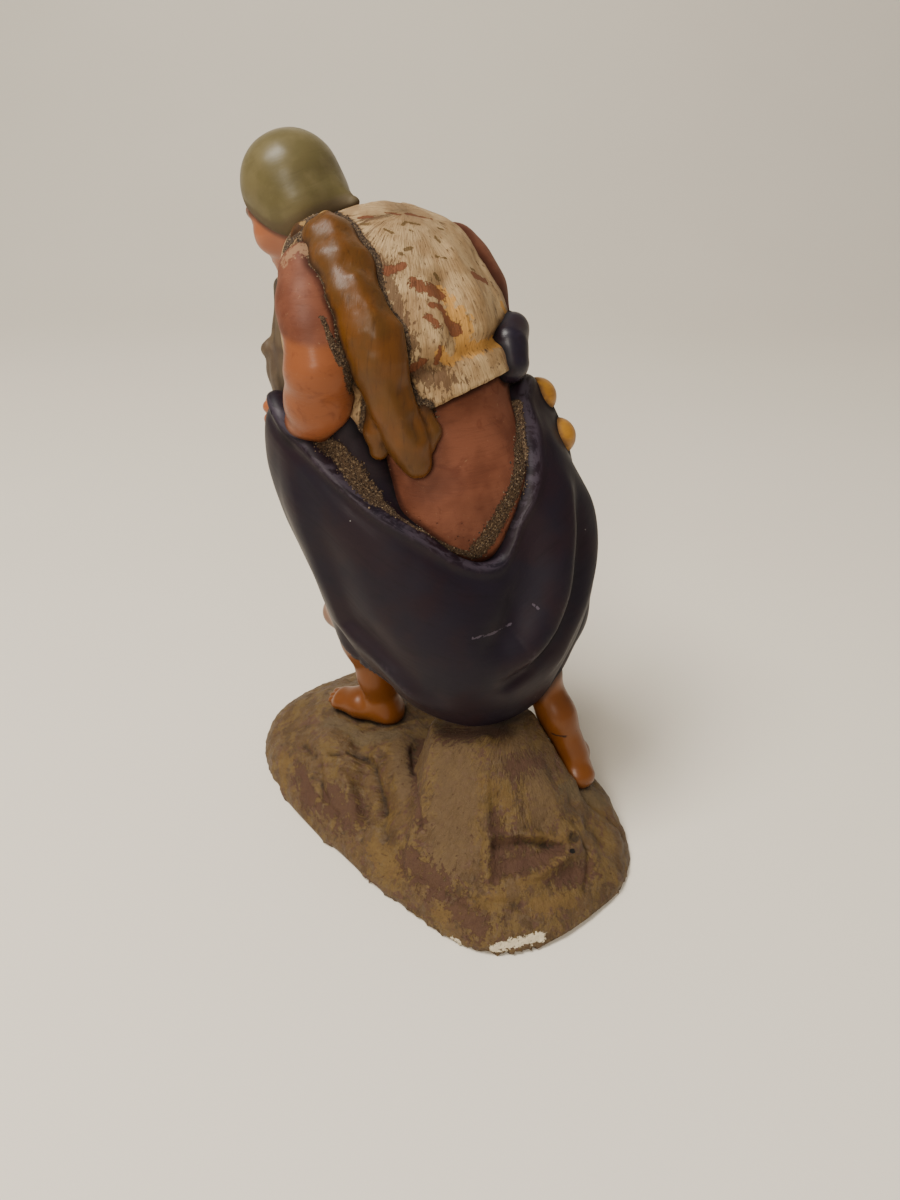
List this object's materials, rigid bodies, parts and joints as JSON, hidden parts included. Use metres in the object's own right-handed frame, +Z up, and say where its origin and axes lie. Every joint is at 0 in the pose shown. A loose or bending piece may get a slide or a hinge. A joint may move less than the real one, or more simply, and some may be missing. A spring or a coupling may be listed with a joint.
{
  "type": "nativity shepherd figure",
  "caption": "painted terracotta shepherd stooping uphill on a rock, with a hide bag on the shoulder and a dark cloak round the hips",
  "frame": {"origin": "centre of the rock's flat underside, on the table", "axes": "+Z up, the figure walks towards -Y, its left hand is on +X"},
  "size_m": [0.0822, 0.1311, 0.1806],
  "materials": {
    "painted_terracotta": "satin paint, worn"
  },
  "bodies": {
    "root": {"shepherd_figure": "painted_terracotta"}
  },
  "joints": []
}
